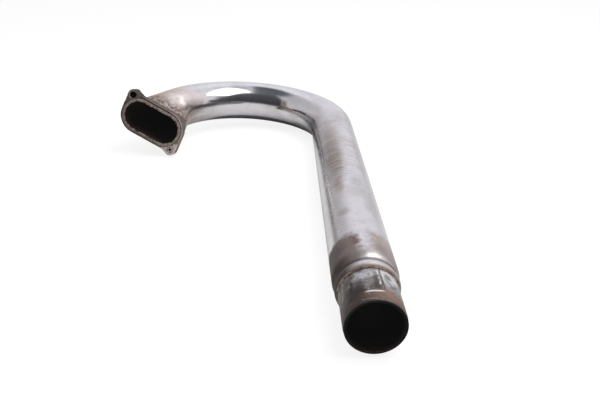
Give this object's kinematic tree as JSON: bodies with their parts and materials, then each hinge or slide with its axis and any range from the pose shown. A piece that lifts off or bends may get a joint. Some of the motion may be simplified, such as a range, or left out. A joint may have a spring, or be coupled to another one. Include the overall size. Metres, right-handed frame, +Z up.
{
  "type": "exhaust header pipe",
  "caption": "Double-walled chromed exhaust header pipe: hooked J bend from a stadium-shaped two-ear port flange to a straight leg with a reduced round spigot.",
  "frame": {"origin": "middle of the overall box in X and Y, at table level in Z, where the straight leg and the low flange ear rest", "axes": "+Z up from the table, -Y out of the round outlet along the straight leg, the bend and the port flange lie towards -X"},
  "size_m": [0.2516, 0.4688, 0.0707],
  "materials": {
    "chrome_skin": "polished, heat-stained",
    "sooty_steel": "sooty",
    "bare_steel": "mottled, tarnished",
    "rusty_weld": "rusty",
    "flange_casting": "oxidised",
    "scaled_weld": "scaled"
  },
  "bodies": {
    "root": {"outer_tube": "chrome_skin", "inner_pipe": "sooty_steel", "outlet_sleeve": "bare_steel", "outlet_weld": "rusty_weld", "port_flange": "flange_casting", "flange_weld": "scaled_weld"}
  },
  "joints": []
}
